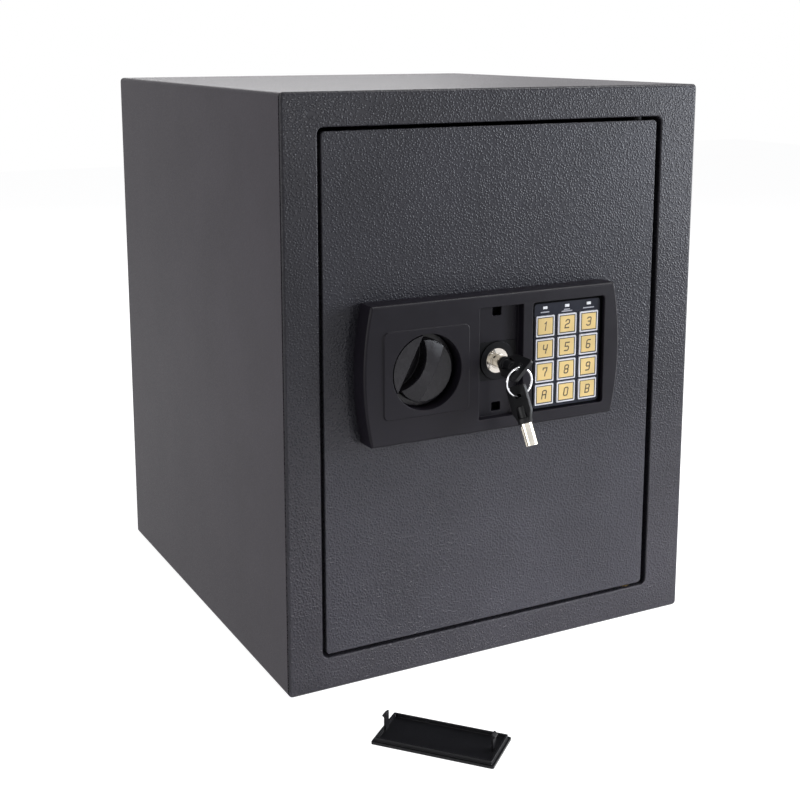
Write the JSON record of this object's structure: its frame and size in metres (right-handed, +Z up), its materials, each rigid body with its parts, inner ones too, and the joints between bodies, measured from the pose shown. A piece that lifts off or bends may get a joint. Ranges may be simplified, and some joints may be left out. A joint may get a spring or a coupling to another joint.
{
  "type": "electronic safe",
  "caption": "Upright steel safe with a swinging door, knob-driven locking bolts, a number keypad and an emergency key lock under a loose cover.",
  "frame": {"origin": "centre of the cabinet's base, on its underside", "axes": "+Z up, the door faces -Y and its hinges are on +X; +Y points to the wall behind"},
  "size_m": [0.366, 0.541, 0.45],
  "materials": {
    "body_paint": "fine textured graphite powder coat",
    "door_paint": "fine textured graphite powder coat",
    "panel_plastic": "spark-eroded moulded plastic, violet black",
    "knob_plastic": "spark-eroded moulded plastic, violet black",
    "keypad_plastic": "dark membrane with silver frames round the keys",
    "button_plastic": "cream key with brown number",
    "lamp_plastic": "milky lamp window",
    "collar_plastic": "black moulded plastic",
    "key_plastic": "black moulded key head",
    "black_plastic": "black moulded plastic",
    "reset_plastic": "red moulded plastic",
    "board_laminate": "green solder mask",
    "wire_sleeve": "red wire sleeve",
    "lock_chrome": "polished",
    "key_steel": "fine brushed, nickel plated",
    "ring_steel": "bright wire",
    "zinc_steel": "zinc plated",
    "bolt_steel": "ground and plated",
    "bush_brass": "turned",
    "coil_copper": "enamelled winding in a steel frame",
    "cell_wrap": "glossy sleeve",
    "mat_rubber": "ribbed mat",
    "grommet_rubber": "smooth"
  },
  "bodies": {
    "cabinet": {"cabinet_shell": "body_paint", "back_panel": "body_paint", "front_frame": "body_paint", "hinge_bushes": "bush_brass", "bolt_keeper": "zinc_steel", "shelf_ledges": "body_paint", "floor_mat": "mat_rubber"},
    "shelf": {"shelf": "body_paint"},
    "door": {"door_plate": "door_paint", "hinge_brackets": "zinc_steel", "hinge_pins": "zinc_steel", "lock_case": "body_paint", "case_screws": "zinc_steel", "panel_housing": "panel_plastic", "panel_screws": "zinc_steel", "keypad_plate": "keypad_plastic", "lamp_windows": "lamp_plastic", "circuit_board": "board_laminate", "lock_collar": "collar_plastic", "lock_body": "lock_chrome", "lock_nut": "zinc_steel", "solenoid": "coil_copper", "carriage_studs": "zinc_steel", "battery_box": "black_plastic", "battery_cells": "cell_wrap", "wiring": "wire_sleeve", "cable_grommet": "grommet_rubber", "reset_switch": "black_plastic"},
    "knob": {"knob": "knob_plastic", "knob_spindle": "zinc_steel", "crank_lever": "zinc_steel"},
    "carriage": {"bolt_carriage": "zinc_steel", "locking_bolts": "bolt_steel"},
    "plunger": {"plunger": "bolt_steel", "plunger_spring": "bolt_steel"},
    "plug": {"lock_plug": "lock_chrome", "lock_cam": "zinc_steel"},
    "key": {"key_shank": "key_steel", "key_head": "key_plastic"},
    "ring": {"key_ring": "ring_steel"},
    "spare_key": {"spare_key_shank": "key_steel", "spare_key_head": "key_plastic"},
    "battery_cover": {"battery_cover": "black_plastic"},
    "reset_button": {"reset_button": "reset_plastic"},
    "lock_cover": {"lock_cover": "panel_plastic"},
    "keypad_button_1": {"keypad_button_1": "button_plastic"},
    "keypad_button_2": {"keypad_button_2": "button_plastic"},
    "keypad_button_3": {"keypad_button_3": "button_plastic"},
    "keypad_button_4": {"keypad_button_4": "button_plastic"},
    "keypad_button_5": {"keypad_button_5": "button_plastic"},
    "keypad_button_6": {"keypad_button_6": "button_plastic"},
    "keypad_button_7": {"keypad_button_7": "button_plastic"},
    "keypad_button_8": {"keypad_button_8": "button_plastic"},
    "keypad_button_9": {"keypad_button_9": "button_plastic"},
    "keypad_button_10": {"keypad_button_10": "button_plastic"},
    "keypad_button_11": {"keypad_button_11": "button_plastic"},
    "keypad_button_12": {"keypad_button_12": "button_plastic"}
  },
  "joints": [
    {"name": "door_swing", "type": "hinge", "parent": "cabinet", "child": "door", "pos_m": [0.131, -0.1835, 0], "axis": [0, 0, 1], "range_deg": [0, 105]},
    {"name": "knob_turn", "type": "hinge", "parent": "door", "child": "knob", "pos_m": [-0.0766, -0.194, 0.244], "axis": [0, -1, 0], "range_deg": [0, 62.3]},
    {"name": "bolt_throw", "type": "slide", "parent": "door", "child": "carriage", "axis": [-1, 0, 0], "range_m": [0, 0.015]},
    {"name": "plug_turn", "type": "hinge", "parent": "door", "child": "plug", "pos_m": [-0.0118, -0.194, 0.244], "axis": [0, 1, 0], "range_deg": [0, 90]},
    {"name": "plunger_lift", "type": "slide", "parent": "door", "child": "plunger", "axis": [0, 0, 1], "range_m": [0, 0.005], "stiffness_N_per_m": 40, "springref_m": -0.01, "deforming": ["plunger_spring"]},
    {"name": "key_pull", "type": "slide", "parent": "plug", "child": "key", "axis": [0, -1, 0], "range_m": [0, 0.012]},
    {"name": "ring_swing", "type": "hinge", "parent": "key", "child": "ring", "pos_m": [-0.01095, -0.2361, 0.24485], "axis": [-1, 0, 0], "range_deg": [-12, 40]},
    {"name": "spare_key_swing", "type": "hinge", "parent": "ring", "child": "spare_key", "pos_m": [-0.01095, -0.2361, 0.22325], "axis": [-1, 0, 0], "range_deg": [-22, 30]},
    {"name": "battery_cover_pull", "type": "slide", "parent": "door", "child": "battery_cover", "axis": [0, 1, 0], "range_m": [0, 0.03]},
    {"name": "reset_press", "type": "slide", "parent": "door", "child": "reset_button", "axis": [0, -1, 0], "range_m": [0, 0.002], "stiffness_N_per_m": 300},
    {"name": "shelf_lift", "type": "slide", "parent": "cabinet", "child": "shelf", "axis": [0, 0, 1], "range_m": [0, 0.05]},
    {"name": "lock_cover_lift", "type": "slide", "parent": "cabinet", "child": "lock_cover", "axis": [0, 0, 1], "range_m": [0, 0.05]},
    {"name": "keypad_button_1_press", "type": "slide", "parent": "door", "child": "keypad_button_1", "axis": [0, 1, 0], "range_m": [0, 0.0005], "stiffness_N_per_m": 1000},
    {"name": "keypad_button_2_press", "type": "slide", "parent": "door", "child": "keypad_button_2", "axis": [0, 1, 0], "range_m": [0, 0.0005], "stiffness_N_per_m": 1000},
    {"name": "keypad_button_3_press", "type": "slide", "parent": "door", "child": "keypad_button_3", "axis": [0, 1, 0], "range_m": [0, 0.0005], "stiffness_N_per_m": 1000},
    {"name": "keypad_button_4_press", "type": "slide", "parent": "door", "child": "keypad_button_4", "axis": [0, 1, 0], "range_m": [0, 0.0005], "stiffness_N_per_m": 1000},
    {"name": "keypad_button_5_press", "type": "slide", "parent": "door", "child": "keypad_button_5", "axis": [0, 1, 0], "range_m": [0, 0.0005], "stiffness_N_per_m": 1000},
    {"name": "keypad_button_6_press", "type": "slide", "parent": "door", "child": "keypad_button_6", "axis": [0, 1, 0], "range_m": [0, 0.0005], "stiffness_N_per_m": 1000},
    {"name": "keypad_button_7_press", "type": "slide", "parent": "door", "child": "keypad_button_7", "axis": [0, 1, 0], "range_m": [0, 0.0005], "stiffness_N_per_m": 1000},
    {"name": "keypad_button_8_press", "type": "slide", "parent": "door", "child": "keypad_button_8", "axis": [0, 1, 0], "range_m": [0, 0.0005], "stiffness_N_per_m": 1000},
    {"name": "keypad_button_9_press", "type": "slide", "parent": "door", "child": "keypad_button_9", "axis": [0, 1, 0], "range_m": [0, 0.0005], "stiffness_N_per_m": 1000},
    {"name": "keypad_button_10_press", "type": "slide", "parent": "door", "child": "keypad_button_10", "axis": [0, 1, 0], "range_m": [0, 0.0005], "stiffness_N_per_m": 1000},
    {"name": "keypad_button_11_press", "type": "slide", "parent": "door", "child": "keypad_button_11", "axis": [0, 1, 0], "range_m": [0, 0.0005], "stiffness_N_per_m": 1000},
    {"name": "keypad_button_12_press", "type": "slide", "parent": "door", "child": "keypad_button_12", "axis": [0, 1, 0], "range_m": [0, 0.0005], "stiffness_N_per_m": 1000}
  ],
  "couplings": [
    {"joint": "knob_turn", "follows": "bolt_throw", "rad_per_m": 72.48},
    {"joint": "plunger_lift", "follows": "plug_turn", "m_per_rad": 0.003183}
  ]
}
